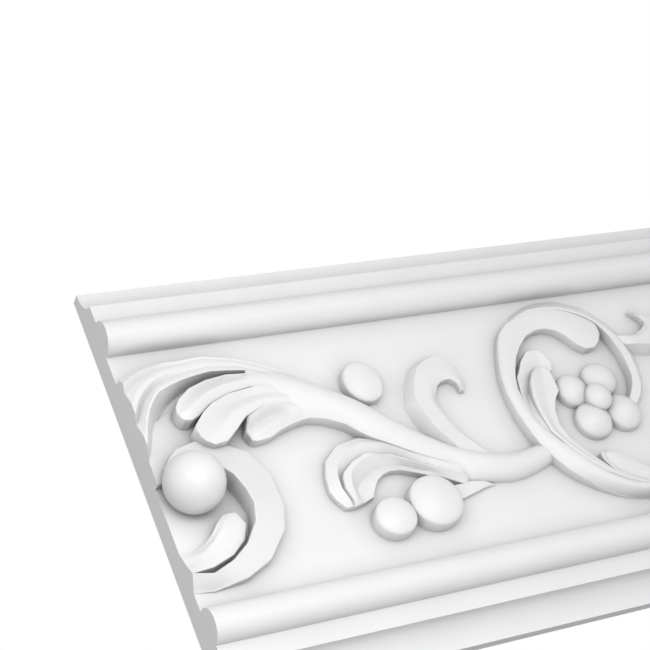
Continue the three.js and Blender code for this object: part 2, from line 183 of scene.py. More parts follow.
def across(shape, t, a, b):
    """Share of the way over one fold, and share of its rise, at step t from 0 to 1."""
    if shape == STRAIGHT:
        return t, t
    if shape == GENTLE:
        wave = (1 - GENTLE_SLOPE) / 2 * (1 - math.cos(math.pi * t))
        return t, GENTLE_SLOPE * t + wave
    turn = t * math.pi / 2
    round_end = max(0, 1 - min(a[2], b[2]) / FLAT_DOME_EDGE)
    if b[2] >= a[2]:
        share = 1 - math.cos(turn)
        return share, round_end * math.sin(turn) + (1 - round_end) * (1 - (1 - share) ** 2)
    share = math.sin(turn)
    return share, round_end * (1 - math.cos(turn)) + (1 - round_end) * share ** 2


def round_off(distance, reach):
    """How far an edge of the top has dropped at a distance from the wall."""
    if distance >= reach:
        return 0
    return reach - math.sqrt(reach * reach - (reach - distance) ** 2)


def crossing(row, shape, steps):
    """Points of the top along one row, closer together at its two rounded edges."""
    points = []
    last = len(row) - 2
    for part in range(len(row) - 1):
        a, b = row[part], row[part + 1]
        width = math.hypot(b[0] - a[0], b[1] - a[1])
        rim = min(ARRIS, ARRIS_WIDTH_LIMIT * width) / width
        start = rim if part == 0 else 0
        end = 1 - rim if part == last else 1
        spots = [(0, 0), (ARRIS_LINE * rim, 0)] if part == 0 else []
        for i in range(steps + (part == last)):
            share, risen = across(shape, i / steps, a, b)
            spots.append((start + (end - start) * share, risen))
        if part == last:
            spots += [(1 - ARRIS_LINE * rim, 1), (1, 1)]
        for share, risen in spots:
            x, z, _ = mix(a, b, share)
            edge = min(share if part == 0 else 1, 1 - share if part == last else 1)
            points.append((x, z, a[2] + (b[2] - a[2]) * risen, edge * width))
    return points


def leaf(name, rows, shape=GENTLE, steps=8, tip=True):
    """A carved form with upright walls. Each row crosses it as points [x, z, height], from tip to root.

    The shape and the steps are those of the top between two points of a row. Without a tip, the
    edge of the first row isn't rounded.
    """
    stations = []
    for i, (row, following) in enumerate(zip(rows, rows[1:])):
        middle = mix(row[0], row[-1], 0.5)
        ahead = mix(following[0], following[-1], 0.5)
        run = math.hypot(ahead[0] - middle[0], ahead[1] - middle[1])
        parts = max(1, round(run / STRIDE))
        shares = [j / parts for j in range(parts)]
        if i == 0 and tip:
            lines = (ARRIS * ARRIS_LINE, ARRIS)
            shares = sorted(set(shares) | {min(ARRIS_WIDTH_LIMIT, line / run) for line in lines})
        for t in shares:
            between = [mix(p, q, t) for p, q in zip(row, following)]
            stations.append((crossing(between, shape, steps), t * run if i == 0 else ARRIS))
    stations.append((crossing(rows[-1], shape, steps), ARRIS))

    columns = len(stations[0][0])
    bpy.ops.mesh.primitive_grid_add(
        x_subdivisions=len(stations) - 1, y_subdivisions=columns - 1, size=2)
    form = bpy.context.object
    bpy.ops.object.mode_set(mode="EDIT")
    bpy.ops.mesh.select_all(action="SELECT")
    for _ in range(2):
        bpy.ops.mesh.extrude_region_move(TRANSFORM_OT_translate={"value": (0, 0, -1)})
    bpy.ops.object.mode_set(mode="OBJECT")

    for vertex in form.data.vertices:
        points, from_tip = stations[round((vertex.co.x + 1) / 2 * (len(stations) - 1))]
        x, z, height, from_edge = points[round((vertex.co.y + 1) / 2 * (columns - 1))]
        level = round(vertex.co.z)
        if level == 0:
            drop = round_off(from_edge, ARRIS)
            if tip:
                drop = max(drop, round_off(from_tip, ARRIS))
            vertex.co = place(x, z, height - min(drop, ARRIS_DROP_LIMIT * height))
        else:
            vertex.co = place(x, z, 0 if level == -1 else -SUNK)
    return settle(form, name)


def folded(rows, section, fade=None):
    """Rows from edge to edge with folds between: the section lists share across and lift."""
    result = []
    for i, (a, b) in enumerate(rows):
        strength = fade(i / (len(rows) - 1)) if fade else 1
        points = []
        for share, lift in section:
            x, z, height = mix(a, b, share)
            points.append((x, z, height + lift * strength))
        result.append(points)
    return result


def berry(name, x, z, radius_x, radius_z, wall, dome):
    """A round knob: an upright wall, a small shoulder and a domed top."""
    shoulder = 0.5
    shoulder_drop = 0.15
    dome_rings = 7
    outline = []
    for i in range(dome_rings + 1):
        share = (i / dome_rings) * (1 - shoulder / radius_x)
        outline.append((share, wall + dome * (1 - share * share)))
    outline += [(1 - ARRIS_LINE * shoulder / radius_x, wall - shoulder_drop), (1, wall - shoulder)]
    outline += [(1, 0), (1, -SUNK), (0.5, -SUNK), (0, -SUNK)]
    rings = len(outline) - 1
    bpy.ops.mesh.primitive_uv_sphere_add(segments=48, ring_count=rings, radius=1)
    form = bpy.context.object
    for vertex in form.data.vertices:
        ring = round(math.acos(max(-1, min(1, vertex.co.z))) / math.pi * rings)
        turn = math.atan2(vertex.co.y, vertex.co.x)
        share, height = outline[ring]
        vertex.co = place(
            x + share * radius_x * math.cos(turn), z + share * radius_z * math.sin(turn), height)
    return settle(form, name)


def ball(name, x, z, height, radius):
    """The ball in the curl, with its poles at front and back."""
    bpy.ops.mesh.primitive_uv_sphere_add(segments=64, ring_count=40, radius=radius * MM)
    form = bpy.context.object
    form.rotation_euler = (math.pi / 2, 0, 0)
    form.location = place(x, z, height)
    return settle(form, name)


def join(base, form, kind="UNION"):
    """Join one form to the base, or cut or trim the base by it, and drop the form."""
    select_only(base)
    joint = base.modifiers.new("join", "BOOLEAN")
    joint.operation = kind
    joint.solver = "MANIFOLD"
    joint.object = form
    bpy.ops.object.modifier_apply(modifier=joint.name)
    spent = form.data
    bpy.data.objects.remove(form)
    bpy.data.meshes.remove(spent)


def top_leaf():
    """The broad leaf's folds, from its cut end to where they run into the stem."""
    edges = [
        ((-2, 34.2, 3.5), (-2, 5, 5.8)),
        ((0.6, 35.6, 3.5), (0.8, 10.9, 6)),
        ((3, 36.8, 3.6), (2.9, 16.8, 6)),
        ((6.2, 38, 3.6), (5.2, 21.4, 6)),
        ((10, 38.8, 3.6), (7.9, 25.1, 6)),
        ((13, 39.3, 3.6), (10.5, 27.6, 6)),
        ((16.4, 39.8, 3.7), (14.8, 29.3, 6)),
        ((21, 39.5, 3.8), (19.5, 30.7, 6)),
        ((26, 39.9, 3.9), (24.9, 31.7, 6)),
        ((30, 40, 4), (29.8, 32.3, 6)),
        ((34.8, 38.8, 4), (34.7, 31.9, 6)),
        ((40, 37.5, 4), (42.4, 31.1, 5.6)),
        ((47, 34.7, 4), (49, 28, 5.2)),
        ((54.2, 31.7, 3.6), (55, 25, 4.5)),
        ((58.6, 28.8, 2.6), (61, 21.5, 4)),
        ((66, 24.6, 1), (66, 18, 3)),
    ]
    foot = [
        (0.1, 3.4, 2.6), (2.9, 9.4, 2.6), (5.4, 15.2, 2.1), (7.8, 19.2, 1.5), (10.2, 22, 0.8),
        (12.6, 23.8, 0.4), (15.8, 26, 0.2), (20.5, 28.6, 0.2), (25.6, 30.2, 0.2), (30.1, 31.4, 0.2),
        (34.7, 31.2, 0.2), (42.5, 30.4, 0.2), (49, 27.5, 0.2), (55, 24.6, 0.2), (61, 21, 0.2),
        (66, 17.6, 0.2),
    ]
    section = (
        (0, 0), (0.09, 1.7), (0.2, -0.2), (0.41, 1.7), (0.55, 1), (0.67, -1.4), (0.79, -0.3),
        (0.9, 0.5), (1, 0))
    least_fold = 0.15
    fade_rate = 1.5
    rows = folded(edges, section, fade=lambda share: max(least_fold, 1 - fade_rate * share))
    return leaf("top leaf", [row + [low] for row, low in zip(rows, foot)],
                shape=STRAIGHT, steps=3, tip=False)


def lobes():
    """Three lobes that peel off the stem under the top leaf."""
    upper = leaf("upper lobe", [
        ((13.6, 19.2, 6), (13.8, 18.4, 6), (14, 17.9, 6.1), (14.3, 16.9, 6)),
        ((14, 21.2, 6), (14.3, 19.8, 6), (14.6, 18.3, 6.4), (15.4, 15.8, 6.1)),
        ((15.8, 23.7, 6.1), (16.4, 21.4, 5.7), (16.9, 19, 6.7), (17.8, 15.4, 6.2)),
        ((20.5, 27.2, 6.1), (20.8, 24.9, 5.2), (21.2, 21.8, 6.9), (20.4, 16.5, 6.2)),
        ((27.2, 29.4, 6.1), (26.6, 27.4, 5), (25.9, 24.4, 7), (25.8, 20.3, 6.2)),
        ((34.8, 30.4, 6), (33.8, 28.9, 5.1), (32.8, 26.2, 7), (33.8, 23.2, 6.2)),
        ((41.8, 29.8, 6), (41, 28.9, 5.5), (40, 26.8, 6.9), (42, 24.3, 6.2)),
        ((42.7, 31.8, 5.4), (43.4, 30, 5.9), (44, 28, 6.5), (43.4, 23.6, 6)),
        ((49, 29.6, 5), (49, 28.2, 6), (49, 26.6, 6.4), (50, 22.8, 5.9)),
        ((56, 26, 4.4), (56, 25, 5.4), (56, 24, 5.8), (57, 21, 5.4)),
    ], steps=5)
    middle = leaf("middle lobe", [
        ((17.1, 11.8, 7.8), (17.1, 11.1, 7.8), (17.1, 10.4, 7.8), (17.2, 9.7, 7.8)),
        ((17.6, 12.8, 7.8), (17.6, 11.2, 7.5), (17.6, 9.6, 7.6), (17.6, 8, 7.8)),
        ((19.2, 14.4, 7.8), (19.2, 11.6, 7), (19.1, 8.8, 7.5), (18.9, 6.1, 7.9)),
        ((21.7, 17, 7.7), (22, 12.6, 6.6), (21.4, 7.9, 7.7), (21.4, 4.5, 7.9)),
        ((25.8, 19.9, 7.4), (25.7, 15.2, 6.1), (25.9, 10.2, 7.7), (25.9, 5.2, 7.7)),
        ((32.8, 22.7, 7), (31.1, 18.6, 5.8), (31, 14.8, 7.6), (30.5, 8.8, 7.3)),
        ((42.1, 24, 6.6), (38.1, 20.8, 5.8), (37.5, 17.3, 7.3), (35.7, 13.4, 6.9)),
        ((46, 24.4, 6.4), (45.1, 21.3, 6), (44.2, 18.9, 6.9), (43.3, 16.6, 6.4)),
        ((55, 22.4, 5.6), (53, 20.6, 6), (52.4, 18.6, 6.3), (52.3, 16.4, 6)),
        ((61, 19.6, 5), (60, 18.8, 5), (60, 17, 5), (60, 14.6, 4.6)),
    ])
    lower = leaf("lower lobe", [
        ((34.7, 9.1, 4.6), (34.9, 8.7, 4.5), (35.1, 8.3, 4.2), (35.3, 7.8, 4), (35.5, 7.4, 3.8)),
        ((35.6, 11.6, 5.4), (35.7, 10.2, 5.7), (35.8, 8.7, 4.7), (35.9, 7.4, 4.3), (36, 6, 3.9)),
        ((37, 14.5, 6), (37, 12.8, 6.3), (37.6, 10.4, 4.3), (37.7, 8, 5), (37.7, 5.3, 4)),
        ((40.9, 16.3, 6.2), (40.9, 14.8, 6.6), (41.7, 12.4, 4.3), (42.2, 9.4, 5.4), (42.7, 5.9, 4)),
        ((44.9, 17.3, 6.3), (45.3, 15.9, 6.7), (46, 13.9, 4.5), (46.7, 11, 5.6), (47.4, 8, 4.1)),
        ((51, 16.9, 6.1), (50.5, 15.7, 6.4), (50.8, 14.1, 5), (50.9, 11.8, 5.6), (50.9, 9.1, 4.3)),
        ((53.2, 17.4, 5.6), (54, 15.2, 6), (54.4, 13.4, 5.6), (54.7, 11.8, 5.2), (55, 10, 4.3)),
        ((60, 14.5, 4.6), (60.5, 13, 4.6), (60.8, 12, 4.4), (60.9, 11.5, 4.2), (61, 10.8, 3.8)),
    ], steps=5)
    return [upper, middle, lower]


def main_stem():
    """The stem: round above, and cut upright along its lower side as far as the folded leaf."""
    return leaf("main stem", [
        ((43.5, 34, 1.6), (44, 28, 5.2), (51.5, 10.4, 2.4)),
        ((49.5, 32.8, 3), (50, 25, 6.3), (54.5, 10, 4.2)),
        ((56, 30, 3.4), (56, 22.2, 6.9), (58.7, 10.4, 4.4)),
        ((61.5, 27, 2.6), (60.5, 19.7, 7), (64.3, 9, 4.4)),
        ((67, 23.8, 1), (65.5, 16.8, 7), (67.6, 7.4, 4.4)),
        ((73.1, 20, 0.2), (69.5, 14.1, 6.9), (70.4, 5.9, 4.4)),
        ((78, 16.4, 0.2), (74, 11, 6.7), (74, 2.3, 4.4)),
        ((82.5, 12.7, 0.2), (78.3, 7.5, 6.5), (77.6, -0.6, 4.4)),
        ((88.2, 7.2, 0.2), (84.5, 2.6, 6), (82.4, -3.5, 4.4)),
        ((94.3, 1.7, 0.2), (91, -2.7, 5.5), (88.8, -7.7, 4.4)),
        ((100.3, -2.8, 0.2), (96.5, -6.3, 5.2), (94.5, -10.9, 4.2)),
        ((104.4, -5.6, 0.2), (101.9, -9.9, 4.9), (100.2, -13.5, 4)),
        ((107.8, -7.4, 0.2), (105.5, -11.9, 4.9), (104.2, -16.2, 3.2)),
        ((111.2, -9.1, 0.2), (109, -13.6, 5), (107.6, -22, 0.8)),
        ((114.8, -10.8, 0.2), (113, -15.5, 5.1), (111.8, -22.8, 0.3)),
        ((118.4, -12.1, 0.2), (117, -17.2, 5.3), (116.2, -23.5, 0.2)),
        ((124, -13.4, 0.2), (123, -18.4, 5.2), (122.6, -24.6, 0.2)),
        ((128.6, -13.6, 0.2), (128.6, -18.8, 5.1), (128.8, -24.3, 0.2)),
        ((134, -12.9, 0.2), (134.4, -17.6, 4.7), (135, -22.9, 0.2)),
        ((138.9, -12, 0.2), (140, -16.1, 4.4), (142, -20.6, 0.2)),
        ((147.7, -9.2, 0.2), (149, -13, 4), (151, -16.8, 0.2)),
    ], shape=DOMED, steps=10, tip=False)


def tenths(points):
    """The points, rounded to a tenth of a millimetre."""
    return [[round(value, 1) for value in point] for point in points]


def steep_row(outer, crest, valley, floor, ridge, channel, inner):
    """A row of the folded leaf whose ridge hides its own wall: that leans with the line of sight."""
    top = round(ridge[2] - STEEP_FALL, 1)
    rise = top - valley[2]
    edge = (valley[0] - LEAN_X * rise, valley[1] - LEAN_Z * rise, top)
    gap = VALLEY_GAP / math.hypot(edge[0] - crest[0], edge[1] - crest[1])
    foot = mix(edge, crest, gap)[:2] + [floor]
    return tenths([outer, crest, foot, edge, ridge, channel, inner])


def sloped_row(outer, crest, valley, ridge, channel, inner):
    """A row of the folded leaf near the stem, where the valley opens and its wall is a slope."""
    edge = mix(valley, ridge, SLOPE_TOP)[:2] + [ridge[2] - SLOPE_FALL]
    foot = mix(valley, crest, SLOPE_FOOT)[:2] + [valley[2]]
    return tenths([outer, crest, foot, edge, ridge, channel, inner])


def folded_leaf():
    """The lower leaf: an outer fold, a valley, a flat ridge, a channel and an inner edge."""
    tip = [(59.3, -23, 2.4), (61.3, -23.3, 3), (62, -23.3, 2.9), (62.5, -23.3, 3), (63.7, -23.1, 3),
           (66.4, -22.4, 2.6), (70.2, -21, 2.4)]
    return leaf("folded leaf", [
        tip,
        steep_row((56.9, -19.6, 2.4), (60.9, -21.4, 3.8), (62.8, -20.5, 2.7), 2.9, (63.5, -20.8, 4),
                  (65.7, -20.5, 2.4), (71.2, -19.2, 2.4)),
        steep_row((55.8, -16.4, 2.4), (59.5, -16.6, 4.2), (62, -15.7, 2.3), 3.1, (63.1, -16.9, 4.8),
                  (65.5, -17.4, 2), (72.5, -17.3, 2.7)),
        steep_row((56.4, -11.1, 2.5), (59.8, -11.7, 4.4), (62.7, -11.8, 2.1), 3.1, (63.8, -13.4, 5.2),
                  (67.1, -15.3, 1.9), (74.1, -15.4, 2.9)),
        steep_row((58.7, -5.2, 2.6), (61.5, -7.9, 4.4), (63.7, -9.9, 2.1), 3.1, (65.1, -11.4, 5.2),
                  (70.5, -13.1, 1.9), (76.7, -13.7, 2.7)),
        steep_row((64.7, -0.4, 2.7), (66.2, -4.1, 4.4), (68.1, -6.7, 2.1), 3.2, (69.3, -8.7, 5.2),
                  (75.1, -11.1, 2), (79.4, -13.1, 2.8)),
        steep_row((73, 1, 2.9), (72.7, -1.6, 4.4), (73.8, -4.5, 2.2), 3.2, (75.1, -6.8, 5.1),
                  (79.5, -11, 2.2), (83.7, -13.5, 2.8)),
        sloped_row((81.6, -1.4, 3.2), (80.6, -3.6, 4.3), (82, -6.8, 2.5), (80.7, -8.8, 5),
                   (84.9, -11.8, 2.4), (88.6, -15.4, 2.8)),
        sloped_row((90.6, -7, 3.6), (88.7, -8.6, 4.1), (89.1, -11, 2.8), (88.1, -12.2, 4.7),
                   (90.2, -14.3, 2.6), (92.9, -17.4, 2.8)),
        sloped_row((98.2, -11, 3.7), (96, -12.5, 3.9), (96.5, -14.6, 3.4), (95.5, -15.9, 4.2),
                   (96, -17.3, 3.2), (97.4, -18.8, 2.8)),
        sloped_row((105.7, -14.6, 3.4), (103.7, -15.9, 3.6), (103, -17.5, 3.3), (102.3, -18.6, 3.8),
                   (102.5, -20.3, 3), (104.4, -22.3, 2.4)),
        sloped_row((109.5, -16.6, 2.6), (109, -17.8, 2.6), (108.6, -18.6, 2.4), (108.6, -19.4, 2.2),
                   (108.8, -20.4, 1.6), (109, -21.5, 0.7)),
    ], shape=STRAIGHT, steps=3)


def hook(name, rows):
    """A hook: the foot of its sloping outer wall, the outer edge and the inner edge of its top."""
    section = ((0, 0), (0.74, 0.8), (1, 0))
    tops = folded([row[1:] for row in rows], section)
    return leaf(name, [[row[0]] + top for row, top in zip(rows, tops)], shape=STRAIGHT, steps=4)


def hooks():
    """The hook that rises from the stem, and the one beyond the flower."""
    over_stem = hook("stem hook", [
        ((121.4, 12.4, 0.1), (121, 12.5, 1.7), (119.3, 12.6, 2)),
        ((122.2, 15, 0.1), (121.9, 15.3, 2), (119.4, 14.2, 2.3)),
        ((122.6, 18.3, 0.1), (121.9, 18, 2.2), (118.9, 15.9, 2.7)),
        ((121.6, 23.2, 0.1), (120.6, 22.2, 2.5), (116.9, 17.4, 2.9)),
        ((118.8, 27.4, 0.1), (118.1, 25.9, 2.8), (114.8, 17.4, 2.9)),
        ((114.4, 29, 0.1), (114.9, 27.3, 3), (112.9, 17, 2.9)),
        ((108.9, 28, 0.1), (110.3, 26, 3.6), (110.9, 15.5, 2.9)),
        ((103.4, 24.6, 0.1), (105.1, 22.9, 4.6), (109.2, 13.2, 2.9)),
        ((99.3, 19, 0.1), (101.7, 17.9, 5), (108.1, 11.2, 2.9)),
        ((95.9, 10.4, 0.1), (99, 10.9, 5), (107.9, 8.8, 2.9)),
        ((96.6, 5.2, 0.1), (99.8, 5.7, 5), (109.2, 4, 2.9)),
        ((98.9, -3, 0.1), (102.2, -2.1, 5), (112.6, -4.2, 2.8)),
        ((102.4, -9, 0.1), (105.5, -7.7, 5), (117.4, -10.2, 2.6)),
        ((108, -14, 0.1), (109, -12, 3.4), (121, -14, 2)),
    ])
    past_flower = hook("flower hook", [
        ((203.3, 34.6, 0.1), (203.5, 34.3, 1.8), (203.9, 33.3, 1.8)),
        ((204.9, 35.3, 0.1), (204.9, 34.7, 2.3), (204.8, 32.6, 2.3)),
        ((209.3, 34.7, 0.1), (208.3, 33.5, 2.8), (206.3, 31.1, 2.8)),
        ((212.8, 32, 0.1), (211, 30.9, 3.2), (207.4, 28.5, 3)),
        ((215.4, 27.6, 0.1), (212.9, 27.2, 3.8), (206.6, 27.1, 3)),
        ((215.1, 21.4, 0.1), (212.6, 22.4, 4.5), (203.6, 25.2, 3)),
        ((210.8, 17, 0.1), (209.4, 19, 5), (200.6, 24, 3)),
        ((204.6, 15, 0.1), (204.5, 17.6, 5), (197.8, 24, 2.9)),
        ((198, 16.2, 0.1), (198.6, 18.6, 4.9), (194.5, 24.5, 2.8)),
        ((193.4, 18, 0.1), (194.4, 19.8, 3.8), (190.8, 25.4, 2.4)),
        ((189.6, 20.4, 0.1), (190.4, 21.6, 2), (187.6, 26, 1.4)),
    ])
    return [over_stem, past_flower]


def leaf_ring():
    """The ring of leaves around the flower."""
    ring = leaf("ring leaf", [
        ((185, 25.6, 3.7), (184.2, 24.4, 3.7), (183.3, 23.1, 3.7)),
        ((185.4, 27.4, 3.7), (182.7, 23.9, 4), (180.2, 20.7, 3.7)),
        ((185.4, 30.4, 3.7), (180.5, 25.2, 4.2), (176.4, 20.6, 3.7)),
        ((183.2, 32.6, 3.7), (178.5, 28, 4.3), (173.3, 23.1, 3.7)),
        ((180.3, 34.9, 3.7), (175.5, 31.4, 4.3), (170.1, 27.6, 3.7)),
        ((177.1, 36.7, 3.7), (172.4, 33.4, 4.3), (167.3, 30.1, 3.7)),
        ((173.8, 38.3, 3.7), (168.6, 34.7, 4.3), (163.9, 31.3, 3.7)),
        ((167.1, 39.7, 3.7), (163.1, 35.5, 4.3), (159.5, 31.3, 3.7)),
        ((160.3, 39.4, 3.7), (157.4, 34.8, 4.3), (154.2, 29.4, 3.8)),
        ((154.1, 37.7, 3.5), (151.6, 32, 4.3), (149.6, 25.4, 3.8)),
        ((149, 36, 3.3), (147.2, 29, 4.3), (146.1, 21.5, 3.9)),
        ((144.6, 32.6, 3.2), (143.8, 25.1, 4.4), (143.4, 16.9, 4)),
        ((142, 28.7, 3.2), (141.1, 20.4, 4.5), (141.6, 13, 4.1)),
        ((139.1, 22.2, 3.3), (138.8, 15, 4.6), (140.4, 8.7, 4.2)),
        ((136.7, 15.6, 3.5), (137.4, 8.2, 4.8), (140.2, 3.8, 4.3)),
        ((135.5, 7.8, 3.7), (137.7, 1.4, 5), (140.9, -1.3, 4.5)),
        ((135.7, -0.9, 4.1), (139.4, -4.6, 5.4), (142, -7, 4.8)),
        ((137, -9, 4.4), (141.6, -9.5, 5.7), (144.4, -12.2, 5)),
        ((138.3, -13.8, 4.4), (144.8, -14.4, 6), (147.6, -16.7, 5.2)),
        ((141.6, -20, 4), (148, -19.5, 6.1), (152, -21.2, 5.1)),
        ((144.8, -24.9, 4), (151.2, -24.4, 6.2), (155.8, -26.4, 5.1)),
        ((149.3, -29.2, 3.4), (156, -29.9, 6.2), (160.6, -30.4, 5)),
        ((154.8, -33.4, 2.2), (160.5, -33.4, 6.1), (165.2, -33.2, 5)),
        ((161.2, -36.9, 1.2), (165.5, -36.1, 6), (169.8, -35.2, 4.9)),
        ((167.3, -39.2, 0.5), (169.8, -37.4, 6), (174, -35.9, 4.8)),
        ((173.1, -40.4, 0.3), (175.5, -38.3, 5.9), (179, -36.4, 4.7)),
        ((186, -41.4, 0.3), (187, -39.2, 5.4), (188, -36.9, 4.9)),
        ((202, -41.5, 0.3), (202, -39.2, 5), (202, -37, 4.7)),
        ((218, -41.5, 0.3), (218, -39.2, 4.7), (218, -36.8, 4.5)),
        ((235, -41.2, 0.3), (235, -38.8, 4.5), (235, -36.2, 4.3)),
        ((252, -40.3, 0.3), (252, -37.8, 4.3), (252, -35, 4.2)),
    ], shape=DOMED, steps=7)
    band = leaf("outer band", [
        ((186.5, -6.2, 0.1), (185.3, -4.5, 3.2), (183.4, -2, 3.6)),
        ((191, -2.4, 0.1), (188.7, -1.1, 3.8), (184.6, -0.4, 4.2)),
        ((194.4, 2.6, 0.1), (190.8, 2.6, 4.2), (187, 3, 4.5)),
        ((196.6, 8, 0.1), (191.8, 8.2, 4.4), (188.7, 6.8, 4.5)),
        ((197.8, 13.6, 0.1), (192.5, 14.3, 4.4), (189.2, 12, 4.5)),
        ((198, 17.6, 0.1), (191.9, 19.4, 4.4), (189.4, 16.2, 4.5)),
        ((196.7, 25, 0.1), (189.9, 25.5, 4.4), (187.9, 23.6, 4.5)),
        ((194.4, 30.6, 0.1), (188.1, 27.9, 4.3), (187, 26.8, 4.3)),
        ((192.8, 32.8, 0.1), (186, 30.9, 4.3), (185.4, 30.3, 4.3)),
        ((189.6, 36.6, 0.1), (183.5, 33.5, 4.2), (183, 32.7, 4.2)),
        ((186.2, 40.2, 0.1), (180.6, 35.8, 4), (180.2, 35, 4)),
        ((180.9, 42.5, 0.1), (177.3, 37.7, 3.9), (176.9, 36.8, 3.9)),
        ((175.5, 44.7, 0.1), (173.9, 39.2, 3.8), (173.7, 38.3, 3.8)),
        ((168.5, 45.1, 0.1), (167.2, 40.4, 3.6), (167, 39.5, 3.6)),
        ((161.3, 44, 0.1), (160.2, 40.1, 3.5), (160.3, 39.2, 3.5)),
        ((154.5, 41, 0.1), (153.9, 38.1, 3.2), (154.2, 37.2, 3.2)),
        ((149.6, 36, 0.1), (150.2, 35.2, 2.4), (150.8, 34.4, 2.4)),
    ], steps=6)
    first = leaf("first inner leaf", [
        ((154, 23.6, 3.5), (155.2, 23.4, 3.4), (156.3, 23.2, 3.4)),
        ((150.8, 23, 3.6), (155.4, 21.6, 3), (158.5, 20.8, 3.3)),
        ((146.8, 19.3, 3.8), (155.2, 17.5, 2.2), (159.4, 17, 3.2)),
        ((144.8, 16.3, 3.9), (153.4, 14.6, 1.9), (158.2, 14.3, 3.2)),
        ((142.2, 13.1, 4), (149.2, 12.2, 1.9), (153.3, 12.2, 3.2)),
        ((140.4, 5.9, 4.2), (144.2, 6.2, 2.2), (149.4, 8, 3.2)),
        ((139.9, 0.9, 4.3), (142.6, 1.2, 3.2), (146.4, 2, 3.6)),
        ((140.4, -4.2, 4.5), (143, -4.8, 4.5), (146.4, -5, 4.2)),
        ((142.4, -9.5, 4.7), (145, -10.6, 4.8), (147.4, -11, 4.6)),
        ((146, -15.5, 5), (148, -16.4, 5), (150, -16.5, 4.9)),
        ((150.5, -21.5, 4.8), (151.8, -22, 4.9), (153, -22.2, 4.8)),
    ])
    second = leaf("second inner leaf", [
        ((151.4, 16, 4.1), (151.9, 15.9, 4.3), (153.4, 15.8, 4), (154.9, 15.6, 4)),
        ((148.7, 14.1, 4.7), (149.4, 13.9, 5.1), (153.2, 13.8, 3.7), (156.6, 13.9, 4)),
        ((145.7, 9.5, 4.9), (146.6, 9.4, 5.3), (151.8, 9.6, 3.7), (156.6, 9.4, 4)),
        ((144.1, 4.1, 5), (145, 4.1, 5.4), (150.6, 4.8, 3.8), (156.3, 5.5, 4)),
        ((143.7, 0.4, 4.9), (144.6, 0.5, 5.3), (149, 1, 3.9), (153.2, 2.4, 4.1)),
        ((143.7, -3.5, 5), (144.6, -3.4, 5.4), (147.8, -3.2, 4), (150.7, -2.1, 4.2)),
        ((144.2, -10.6, 5.2), (145.1, -10.2, 5.5), (147.4, -9.4, 4.3), (149.6, -7.9, 4.4)),
        ((147.4, -16.4, 5.4), (148, -15.9, 5.6), (149.6, -15, 4.8), (151, -14.3, 4.7)),
        ((151.2, -22.3, 5.6), (151.9, -21.9, 5.8), (154, -21.4, 5.2), (156, -22, 5)),
        ((157.6, -28.9, 5.6), (158.2, -28.4, 5.7), (160.4, -28.4, 5.3), (162.2, -29.6, 5)),
        ((164.5, -33.4, 5.5), (165, -33, 5.6), (166.6, -32.6, 5.2), (167.6, -33, 4.9)),
        ((173, -37, 5), (173.4, -36.6, 5), (174.4, -36.2, 4.8), (175, -36.2, 4.7)),
    ], steps=5)
    spoon = leaf("spoon leaf", [
        ((161.2, -20.7, 3.8), (161.9, -20.8, 4), (162.7, -21, 3.5),
         (163.2, -21, 3.6), (163.9, -20.9, 3.5)),
        ((160.2, -21.1, 3.8), (161, -21.9, 4.2), (162.3, -22.2, 3.3),
         (164.2, -22, 3.6), (166.4, -21.3, 3.4)),
        ((160, -23.5, 3.9), (160.9, -24.2, 4.2), (162.6, -24.6, 3.2),
         (166, -23.8, 3.7), (169.2, -22.9, 3.4)),
        ((161.8, -27.9, 4.1), (162.8, -28, 4.4), (164.3, -27.4, 3.3),
         (168.6, -26, 3.8), (172.3, -25.2, 3.4)),
        ((165, -32.5, 4.3), (166, -31.8, 4.5), (168, -30.8, 3.4),
         (172, -29.6, 3.8), (176.7, -29.2, 3.4)),
        ((171.7, -35.8, 4.4), (172.5, -35.2, 4.6), (173.8, -34, 3.6),
         (178, -32.4, 3.9), (182, -31.9, 3.5)),
        ((184, -37.4, 4.4), (185, -36.8, 4.6), (186.4, -35.8, 3.7),
         (190, -34.6, 3.8), (194, -34.2, 3.4)),
        ((200, -38, 4.2), (201, -37.4, 4.4), (203, -36.6, 3.8),
         (206, -36.2, 3.6), (209, -36.2, 3.4)),
        ((214, -38.6, 4), (215, -38, 4.1), (217, -37.4, 3.9),
         (219, -36.8, 3.8), (221, -36.4, 3.4)),
    ], steps=5)
    return [ring, band, first, second, spoon]


def flower():
    """Four petals and the bud between them."""
    return [
        berry("left petal", 162.9, 5.5, 6.2, 6.5, 2.7, 2.9),
        berry("lower petal", 165.6, -7.4, 7.1, 7.2, 2.6, 3.1),
        berry("right petal", 179.2, -6.3, 6.8, 7.1, 2.7, 3),
        berry("upper petal", 176, 8, 6.9, 6.8, 2.8, 2.9),
        berry("bud", 170.1, 0, 5.1, 5.4, 5.5, 2.6),
    ]


